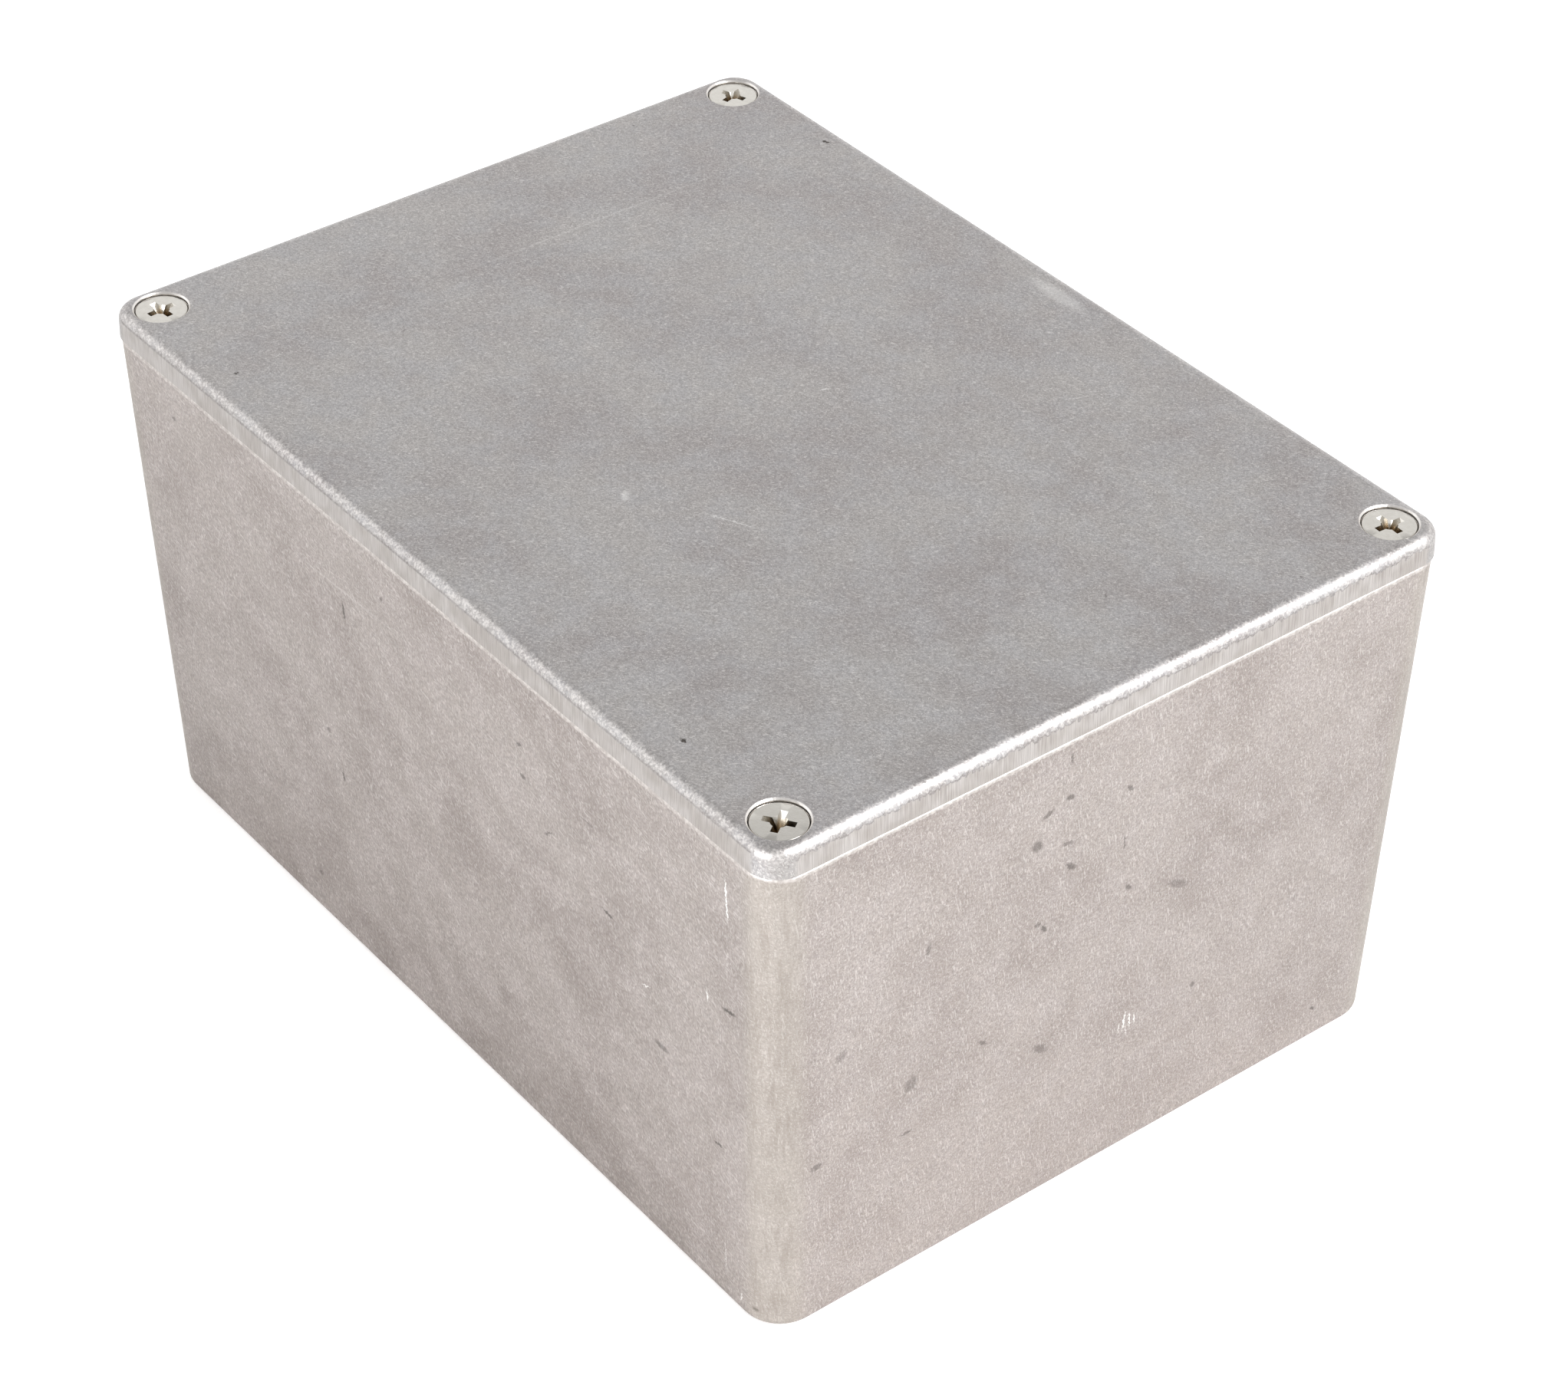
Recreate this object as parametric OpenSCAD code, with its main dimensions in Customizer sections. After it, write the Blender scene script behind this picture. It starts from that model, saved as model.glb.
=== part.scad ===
// Die cast aluminium box: a deep drafted base with a screw pillar in each corner, a flush
// lid with a locating lip, and four countersunk cross-recess screws.
// Millimetres. +X is the long side, +Z up. The origin is the middle of the foot.

/* [Box] */
// Overall length, at the parting joint
box_l = 140; // [110:1:200]
// Overall width, at the parting joint
box_w = 102; // [80:1:160]
// Overall height, foot to lid
box_h = 76; // [50:1:120]

/* [Base casting] */
// Wall thickness at the rim
wall_t = 2.6; // [2:0.1:3.4]
// Floor thickness
floor_t = 2.6; // [2:0.1:4]
// Draft of the outer walls, in degrees
wall_draft = 1.3; // [0.5:0.1:1.8]
// Draft of the cavity walls, in degrees
core_draft = 1.5; // [1:0.1:2]
// Corner radius in plan at the rim
rim_corner_r = 4.4; // [3.8:0.1:5]
// Corner radius in plan at the foot
foot_corner_r = 5.4; // [5:0.1:7]
// Rounding of the edge under the foot
foot_edge_r = 1; // [0.5:0.1:1.5]
// Rounding of the outer rim edge
rim_edge_r = 0.45; // [0.2:0.05:0.6]
// How far the rim stands in from the side of the lid
rim_step = 0.1; // [0:0.05:0.3]
// Fillet between the cavity walls and the floor
floor_fillet_r = 2.4; // [1:0.1:4]

/* [Screw pillars] */
// Distance of each screw from the two nearest box sides
screw_inset = 5.2; // [5:0.1:6.5]
// Radius of a pillar at the rim
pillar_r = 4.2; // [3.8:0.1:4.8]
// Draft of the pillars, in degrees
pillar_draft = 0.6; // [0.2:0.1:1]
// Depth of the tapped hole below the rim
tapped_depth = 11; // [10:0.5:16]

/* [Lid casting] */
// Height of the side of the lid
lid_t = 3.9; // [3.6:0.1:5]
// Thickness of the lid plate between its pads
plate_t = 2.6; // [2:0.1:3.2]
// Corner radius of the lid in plan
lid_corner_r = 4.1; // [3.8:0.1:5]
// Rounding of the top edge
lid_edge_r = 1.5; // [0.8:0.1:1.6]
// Draft of the side of the lid, in degrees
lid_draft = 2; // [0.5:0.1:3]
// Gap at the parting joint
seam_gap = 0.1; // [0.05:0.05:0.3]
// How far the locating lip reaches below the joint
lip_h = 2; // [1:0.1:4]
// Thickness of the locating lip
lip_t = 1.8; // [1.2:0.1:2.5]
// Clearance between the lip and the cavity wall at the rim
lip_gap = 0.25; // [0.2:0.05:0.5]

/* [Screws] */
// Thread diameter
thread_d = 3.5; // [3:0.1:4]
// Length from the top of the head to the tip
screw_l = 12; // [10:0.5:12.5]
// Diameter of the countersunk head
head_d = 6.66; // [6:0.02:7]
// Height of the straight rim of the head
head_rim_h = 0.2; // [0.1:0.05:0.3]
// How far the head lies below the top of the lid
head_sink = 0.35; // [0.2:0.05:0.5]
// Rounding of the rim of the head
head_edge_r = 0.12; // [0.05:0.01:0.15]
// Running clearance of the thread in its tapped hole, on the radius
thread_gap = 0.05; // [0.02:0.01:0.1]
// Clearance of the thread in the lid, on the radius
shank_gap = 0.25; // [0.15:0.05:0.4]
// Clearance round the head, on the radius
head_gap = 0.17; // [0.12:0.01:0.3]
// Chamfer at the mouth of the countersink
mouth_chamfer = 0.22; // [0.1:0.02:0.3]
// Tip to tip width of the cross recess
recess_span = 3.9; // [3.2:0.1:4.2]
// Width of each wing of the cross recess
wing_t = 0.9; // [0.7:0.05:1.1]
// Depth of the cross recess
recess_depth = 1.9; // [1.4:0.1:2.2]

/* [Casting marks] */
// Diameter of the ejector pin marks
ejector_d = 5; // [3:0.5:6]
// Height of the ejector pin marks
ejector_h = 0.25; // [0.1:0.05:0.4]

/* [Hidden] */

// Segments in each quarter of a corner in plan, and in each rounded edge
corner_steps = 8;
edge_steps = 4;
// Segments of the bores and of the screws
bore_fn = 48;
// Overshoot that carries a cut clear through a face
over = 1;

joint_z = box_h - lid_t;
rim_z = joint_z - seam_gap;
screw_x = box_l / 2 - screw_inset;
screw_y = box_w / 2 - screw_inset;
lip_inset = wall_t + rim_step + lip_gap;
pocket_inset = lip_inset + lip_t;
pad_gap = 0.5;
head_top_z = box_h - head_sink;
head_h = head_rim_h + (head_d - thread_d) / 2;
tapped_r = thread_d / 2 + thread_gap;
drill_tip_h = tapped_r * tan(31);

// Inset of a face of the given draft, h below its widest section
function drawn_in(h, draft) = h * tan(draft);

// Closed outline of a rounded rectangle that stands in by inset from the box sides
function outline(inset, r) = [
    for (quarter = [0:3], step = [0:corner_steps])
        let (a = 90 * (quarter + step / corner_steps),
             side_x = quarter == 0 || quarter == 3 ? 1 : -1,
             side_y = quarter < 2 ? 1 : -1)
        [side_x * (box_l / 2 - inset - r) + r * cos(a),
         side_y * (box_w / 2 - inset - r) + r * sin(a)]
];

// Solid through a stack of rounded rectangles, each [z, inset, corner radius], upwards
module loft(sections) {
    loops = [for (s = sections) outline(s[1], s[2])];
    m = len(loops[0]);
    last = len(sections) - 1;
    points = [for (k = [0:last]) for (p = loops[k]) [p.x, p.y, sections[k][0]]];
    sides = [
        for (k = [0:last - 1], i = [0:m - 1])
            let (a = k * m + i, b = k * m + (i + 1) % m)
            each [[a, a + m, b + m], [a, b + m, b]]
    ];
    polyhedron(
        points = points,
        faces = concat([[for (i = [0:m - 1]) i]], sides,
                       [[for (i = [m - 1:-1:0]) last * m + i]])
    );
}

module at_corners() {
    for (sx = [-1, 1], sy = [-1, 1])
        translate([sx * screw_x, sy * screw_y, 0]) children();
}

// Outside of the base: rounded foot edge, drafted walls, rounded rim edge
module base_form() {
    foot_inset = rim_step + drawn_in(rim_z, wall_draft);
    foot = [
        for (step = [0:edge_steps])
            let (a = 90 * step / edge_steps, bite = foot_edge_r * (1 - sin(a)))
            [foot_edge_r * (1 - cos(a)), foot_inset + bite, foot_corner_r - bite]
    ];
    rim = [
        for (step = [0:edge_steps])
            let (a = 90 * step / edge_steps, bite = rim_edge_r * (1 - cos(a)))
            [rim_z - rim_edge_r * (1 - sin(a)), rim_step + bite, rim_corner_r - bite]
    ];
    loft(concat(foot, rim));
}

// Inside of the base: filleted floor and drafted walls, open upwards
module cavity_form() {
    depth = rim_z - floor_t;
    rim_inset = wall_t + rim_step;
    floor_inset = rim_inset + drawn_in(depth, core_draft);
    floor_corner_r = floor_fillet_r + 1;
    mouth_corner_r = rim_corner_r - wall_t + 0.2;
    floor_edge = [
        for (step = [0:edge_steps])
            let (a = 90 * step / edge_steps, bite = floor_fillet_r * (1 - sin(a)))
            [floor_t + floor_fillet_r * (1 - cos(a)), floor_inset + bite, floor_corner_r - bite]
    ];
    mouth = [
        [rim_z, rim_inset, mouth_corner_r],
        [rim_z + over, rim_inset, mouth_corner_r]
    ];
    loft(concat(floor_edge, mouth));
}

// Drafted pillars, a little longer than the cavity is deep
module pillars() {
    foot_r = pillar_r + drawn_in(rim_z, pillar_draft);
    at_corners() cylinder(h = rim_z, r1 = foot_r, r2 = pillar_r, $fn = bore_fn);
}

// Blind tapped hole with its drill point, drawn at the thread diameter
module tapped_hole() {
    translate([0, 0, rim_z - tapped_depth]) {
        cylinder(h = tapped_depth + over, r = tapped_r, $fn = bore_fn);
        translate([0, 0, -drill_tip_h])
            cylinder(h = drill_tip_h, r1 = 0, r2 = tapped_r, $fn = bore_fn);
    }
}

// Round marks that the ejector pins leave, in two rows
module ejector_marks(z) {
    for (x = [-box_l / 4, 0, box_l / 4], y = [-box_w / 4, box_w / 4])
        translate([x, y, z]) cylinder(h = ejector_h, d = ejector_d, $fn = bore_fn);
}

module box_base() color("#b9b4b1") {
    difference() {
        base_form();
        difference() {
            cavity_form();
            pillars();
            ejector_marks(floor_t);
        }
        at_corners() tapped_hole();
    }
}

// Outside of the lid: drafted side and rounded top edge
module lid_form() {
    side_h = lid_t - lid_edge_r;
    top_inset = drawn_in(side_h, lid_draft);
    edge = [
        for (step = [0:edge_steps])
            let (a = 90 * step / edge_steps, bite = top_inset + lid_edge_r * (1 - cos(a)))
            [joint_z + side_h + lid_edge_r * sin(a), bite, lid_corner_r - bite]
    ];
    loft(concat([[joint_z, 0, lid_corner_r]], edge));
}

// Locating lip: four straight runs that end clear of the pillars
module locating_lip() {
    lip_r = rim_corner_r - wall_t + 0.2;
    lead = drawn_in(lip_h, core_draft) + 0.1;
    difference() {
        loft([[joint_z - lip_h, lip_inset + lead, lip_r], [joint_z + over, lip_inset, lip_r]]);
        loft([[joint_z - lip_h - over, pocket_inset, lip_r], [box_h, pocket_inset, lip_r]]);
        at_corners()
            translate([0, 0, joint_z - lip_h - over])
                cylinder(h = lip_h + over, r = pillar_r + pad_gap, $fn = bore_fn);
    }
}

// Pocket in the underside that leaves the plate, a rim to stand on and a pad at each screw
module lid_pocket() {
    pocket_r = 2;
    roof_z = box_h - plate_t;
    difference() {
        loft([[joint_z - over, pocket_inset, pocket_r], [roof_z, pocket_inset, pocket_r]]);
        at_corners() cylinder(h = box_h, r = pillar_r + pad_gap, $fn = bore_fn);
        ejector_marks(roof_z - ejector_h);
    }
}

// Countersink with a chamfered mouth, and the clearance hole below it
module countersink() {
    well_r = head_d / 2 + head_gap;
    hole_r = thread_d / 2 + shank_gap;
    seat_z = head_top_z - head_rim_h;
    rotate_extrude($fn = bore_fn)
        polygon([
            [0, joint_z - over],
            [hole_r, joint_z - over],
            [hole_r, seat_z - (well_r - hole_r)],
            [well_r, seat_z],
            [well_r, box_h - mouth_chamfer],
            [well_r + mouth_chamfer + over, box_h + over],
            [0, box_h + over]
        ]);
}

module lid() color("#afadad") {
    difference() {
        union() {
            difference() {
                lid_form();
                lid_pocket();
            }
            locating_lip();
        }
        at_corners() countersink();
    }
}

// Cross recess: two crossed wings that narrow to a point with depth
module cross_recess() {
    intersection() {
        translate([0, 0, -recess_depth])
            cylinder(h = recess_depth + over,
                     r1 = 0.3,
                     r2 = 0.3 + (recess_span / 2 - 0.3) * (recess_depth + over) / recess_depth,
                     $fn = bore_fn);
        for (a = [0, 90])
            rotate(a)
                translate([-recess_span / 2, -wing_t / 2, -recess_depth])
                    cube([recess_span, wing_t, recess_depth + over]);
    }
}

// Countersunk screw with its top at z = 0
module screw_form() {
    tip_chamfer = 0.6;
    edge = [
        for (step = [0:edge_steps])
            let (a = 90 * step / edge_steps)
            [head_d / 2 - head_edge_r * (1 - cos(a)), -head_edge_r * (1 - sin(a))]
    ];
    difference() {
        rotate_extrude($fn = bore_fn)
            polygon(concat(
                [
                    [0, -screw_l],
                    [thread_d / 2 - tip_chamfer, -screw_l],
                    [thread_d / 2, tip_chamfer - screw_l],
                    [thread_d / 2, -head_h],
                    [head_d / 2, -head_rim_h]
                ],
                edge,
                [[0, 0]]
            ));
        cross_recess();
    }
}

// One screw in its corner, side_x and side_y being -1 or 1, its recess turned by turn degrees
module screw(side_x, side_y, turn) {
    color("#d8d6d0")
        translate([side_x * screw_x, side_y * screw_y, head_top_z])
            rotate(turn) screw_form();
}

module screw_front_left() screw(-1, -1, 5);
module screw_front_right() screw(1, -1, 35);
module screw_back_left() screw(-1, 1, 18);
module screw_back_right() screw(1, 1, -4);

box_base();
lid();
screw_front_left();
screw_front_right();
screw_back_left();
screw_back_right();
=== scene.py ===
"""Looks of a die cast aluminium box: base casting, lid casting and four countersunk screws.

Every length in the classes below is in millimetres unless its name says otherwise; meshes are
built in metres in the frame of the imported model, +Z up, with the foot of the box at z = 0.
"""

import logging
import math
from dataclasses import dataclass
from enum import Enum

import bmesh
import bpy
from mathutils import Matrix, Vector


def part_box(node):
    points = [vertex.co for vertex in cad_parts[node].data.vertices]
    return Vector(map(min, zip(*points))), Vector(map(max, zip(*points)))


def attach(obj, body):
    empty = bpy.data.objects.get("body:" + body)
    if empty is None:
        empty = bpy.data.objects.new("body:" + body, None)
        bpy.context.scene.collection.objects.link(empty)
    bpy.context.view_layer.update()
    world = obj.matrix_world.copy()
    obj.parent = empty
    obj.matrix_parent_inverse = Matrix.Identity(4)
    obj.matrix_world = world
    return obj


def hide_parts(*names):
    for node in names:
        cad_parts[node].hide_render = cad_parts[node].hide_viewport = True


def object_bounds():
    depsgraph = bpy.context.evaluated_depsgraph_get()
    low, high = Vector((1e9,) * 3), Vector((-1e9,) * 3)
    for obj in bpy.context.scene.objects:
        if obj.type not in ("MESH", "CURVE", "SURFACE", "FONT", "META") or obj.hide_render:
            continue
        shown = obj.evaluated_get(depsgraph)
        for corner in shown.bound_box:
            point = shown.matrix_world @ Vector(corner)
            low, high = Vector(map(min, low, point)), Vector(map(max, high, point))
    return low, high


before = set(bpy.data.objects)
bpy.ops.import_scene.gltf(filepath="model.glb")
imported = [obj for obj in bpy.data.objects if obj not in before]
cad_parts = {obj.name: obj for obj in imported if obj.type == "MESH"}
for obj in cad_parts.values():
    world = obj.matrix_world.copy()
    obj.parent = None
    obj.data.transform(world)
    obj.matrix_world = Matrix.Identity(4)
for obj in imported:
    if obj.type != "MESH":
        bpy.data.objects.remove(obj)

CAD_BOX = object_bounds()
LOG = logging.getLogger("box")
MM = 0.001
OVER = 1.0


class Side(Enum):
    """The four screw corners, as (x side, y side)."""

    FRONT_LEFT = (-1, -1)
    FRONT_RIGHT = (1, -1)
    BACK_LEFT = (-1, 1)
    BACK_RIGHT = (1, 1)


# --------------------------------------------------------------------------- mesh making


def facing_out(bm: bmesh.types.BMesh) -> bmesh.types.BMesh:
    """Turns the faces of a closed solid outwards and returns it."""
    bmesh.ops.recalc_face_normals(bm, faces=bm.faces)
    bm.normal_update()
    return bm


@dataclass(frozen=True)
class Section:
    """A rounded rectangle across the box.

    Args:
        z: Height of the section.
        inset: How far it stands in from the widest outline of the box.
        corner_r: Radius of its corners.
    """

    z: float
    inset: float
    corner_r: float


@dataclass(frozen=True)
class Outline:
    """The widest outline of the box, from which sections stand in.

    Args:
        half_x: Half the length.
        half_y: Half the width.
        arc_steps: Segments of each corner.
    """

    half_x: float
    half_y: float
    arc_steps: int = 12

    def moved(self, point: Vector, start: Section, end: Section) -> Vector:
        """Carries a point of one section to the same place on another.

        Args:
            point: The point on the start section, in metres.
            start: The section that it lies on.
            end: The section that it goes to.

        Returns:
            The point on the end section, in metres.
        """
        out = []
        for value, half in ((point.x, self.half_x), (point.y, self.half_y)):
            size = abs(value) / MM
            flat_0 = half - start.inset - start.corner_r
            flat_1 = half - end.inset - end.corner_r
            if size > flat_0:
                size = flat_1 + (size - flat_0) * end.corner_r / start.corner_r
            else:
                size = size * flat_1 / flat_0
            out.append(math.copysign(size * MM, value))
        return Vector((out[0], out[1], end.z * MM))

    def loft(self, sections: list[Section]) -> bmesh.types.BMesh:
        """Closed solid through a stack of sections.

        Args:
            sections: The sections, upwards.

        Returns:
            The solid.
        """
        base = sections[0]
        bm = bmesh.new()
        reach_x = (self.half_x - base.inset) * MM
        reach_y = (self.half_y - base.inset) * MM
        corners = [
            bm.verts.new((sx * reach_x, sy * reach_y, base.z * MM))
            for sx, sy in ((1, 1), (-1, 1), (-1, -1), (1, -1))
        ]
        bm.faces.new(corners)
        bmesh.ops.bevel(
            bm, geom=corners, offset=base.corner_r * MM, offset_type="ABSOLUTE",
            segments=self.arc_steps, profile=0.5, affect="VERTICES", material=-1,
        )
        order = bm.verts.layers.int.new("order")
        start = []
        for i, vert in enumerate(bm.verts):
            vert[order] = i
            start.append(vert.co.copy())
        cap = list(bm.faces)
        for section in sections[1:]:
            inner = cap if section is not sections[1] else []
            made = bmesh.ops.extrude_face_region(bm, geom=cap, use_keep_orig=True)["geom"]
            bmesh.ops.delete(bm, geom=inner, context="FACES_ONLY")
            cap = [g for g in made if isinstance(g, bmesh.types.BMFace)]
            for vert in (g for g in made if isinstance(g, bmesh.types.BMVert)):
                vert.co = self.moved(start[vert[order]], base, section)
        return facing_out(bm)


def to_object(bm: bmesh.types.BMesh, name: str) -> bpy.types.Object:
    """Puts a mesh into the scene as an object at the origin.

    Args:
        bm: The mesh, which is freed.
        name: Name of the object.

    Returns:
        The object.
    """
    mesh = bpy.data.meshes.new(name)
    bm.to_mesh(mesh)
    bm.free()
    obj = bpy.data.objects.new(name, mesh)
    bpy.context.scene.collection.objects.link(obj)
    return obj


def carve(
    target: bpy.types.Object, tool: bpy.types.Object, operation: str = "DIFFERENCE"
) -> bpy.types.Object:
    """Cuts or joins one solid with another and removes the tool.

    Args:
        target: The solid that is changed.
        tool: The solid that cuts it or is joined to it.
        operation: DIFFERENCE or UNION.

    Returns:
        The target.
    """
    step = target.modifiers.new("carve", "BOOLEAN")
    step.object = tool
    step.operation = operation
    step.solver = "EXACT"
    graph = bpy.context.evaluated_depsgraph_get()
    mesh = bpy.data.meshes.new_from_object(target.evaluated_get(graph))
    target.modifiers.clear()
    old = target.data
    target.data = mesh
    bpy.data.meshes.remove(old)
    spent = tool.data
    bpy.data.objects.remove(tool)
    bpy.data.meshes.remove(spent)
    return target


def turned(profile: list[tuple[float, float]], steps: int = 48) -> bmesh.types.BMesh:
    """Solid of revolution about the Z axis.

    Args:
        profile: Points (radius, height) from one end of the axis to the other.
        steps: Segments round the axis.

    Returns:
        The solid.
    """
    bm = bmesh.new()
    verts = [bm.verts.new((r * MM, 0, z * MM)) for r, z in profile]
    edges = [bm.edges.new(pair) for pair in zip(verts, verts[1:])]
    bmesh.ops.spin(
        bm, geom=verts + edges, axis=(0, 0, 1), cent=(0, 0, 0), angle=2 * math.pi,
        steps=steps, use_merge=True,
    )
    bmesh.ops.remove_doubles(bm, verts=bm.verts, dist=1e-7)
    return facing_out(bm)


def copies(bm: bmesh.types.BMesh, places: list[Vector]) -> bmesh.types.BMesh:
    """Repeats a mesh at several places.

    Args:
        bm: The mesh, which becomes the first copy.
        places: Where each copy goes, in millimetres.

    Returns:
        One mesh of all the copies.
    """
    source = list(bm.verts) + list(bm.edges) + list(bm.faces)
    for place in places[1:]:
        made = bmesh.ops.duplicate(bm, geom=source)["geom"]
        verts = [g for g in made if isinstance(g, bmesh.types.BMVert)]
        bmesh.ops.translate(bm, vec=place * MM, verts=verts)
    first = [g for g in source if isinstance(g, bmesh.types.BMVert)]
    bmesh.ops.translate(bm, vec=places[0] * MM, verts=first)
    return bm


def smooth_shaded(obj: bpy.types.Object, crease_deg: float = 28.0) -> None:
    """Shades a piece smooth up to a crease angle, with large faces kept flat.

    Args:
        obj: The piece.
        crease_deg: Edges sharper than this stay sharp, in degrees.
    """
    obj.data.shade_smooth()
    obj.data.set_sharp_from_angle(angle=math.radians(crease_deg))
    weigh = obj.modifiers.new("flat faces", "WEIGHTED_NORMAL")
    weigh.mode = "FACE_AREA"
    weigh.weight = 80
    weigh.keep_sharp = True


# --------------------------------------------------------------------------- finishes


def linear(hex_colour: str) -> tuple[float, float, float, float]:
    """Turns an sRGB hex colour such as "#b0aaa7" into a linear one."""
    values = [int(hex_colour[i:i + 2], 16) / 255 for i in (1, 3, 5)]
    low = [v / 12.92 if v <= 0.04045 else ((v + 0.055) / 1.055) ** 2.4 for v in values]
    return (low[0], low[1], low[2], 1.0)


Source = object


class Sheet:
    """The node tree of one material, with its shader ready.

    Args:
        name: Name of the material.
        values: Plain values for the sockets of the shader.
    """

    def __init__(self, name: str, values: dict[str, float]) -> None:
        self.material = bpy.data.materials.new(name)
        self.material.use_nodes = True
        self.tree = self.material.node_tree
        self.tree.nodes.clear()
        output = self.tree.nodes.new("ShaderNodeOutputMaterial")
        self.shader = self.tree.nodes.new("ShaderNodeBsdfPrincipled")
        self.tree.links.new(self.shader.outputs[0], output.inputs["Surface"])
        for socket, value in values.items():
            self.shader.inputs[socket].default_value = value

    def add(
        self, kind: str, settings: dict[str, object] | None = None,
        inputs: dict[object, Source] | None = None, output: object = 0,
    ) -> bpy.types.NodeSocket:
        """Adds one node.

        Args:
            kind: The node's type.
            settings: Its properties.
            inputs: Its sockets, each with a value or the output that feeds it.
            output: Which of its outputs is wanted.

        Returns:
            That output.
        """
        node = self.tree.nodes.new(kind)
        for name, value in (settings or {}).items():
            setattr(node, name, value)
        for socket, value in (inputs or {}).items():
            if isinstance(value, bpy.types.NodeSocket):
                self.tree.links.new(value, node.inputs[socket])
            else:
                node.inputs[socket].default_value = value
        return node.outputs[output]

    def feed(self, socket: str, source: bpy.types.NodeSocket) -> None:
        """Links a source to a socket of the shader."""
        self.tree.links.new(source, self.shader.inputs[socket])


@dataclass(frozen=True)
class Mark:
    """One dent, pit or scratch, an ellipsoid that lies in the surface.

    Args:
        x: Place along the length.
        y: Place across the width.
        z: Height.
        size: Its half sizes along its own three axes.
        turn: Its turn about X, Y and Z, in degrees.
        depth: Its strength, from 0 to 1.
    """

    x: float
    y: float
    z: float
    size: tuple[float, float, float]
    turn: tuple[float, float, float] = (0.0, 0.0, 0.0)
    depth: float = 1.0


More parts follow.
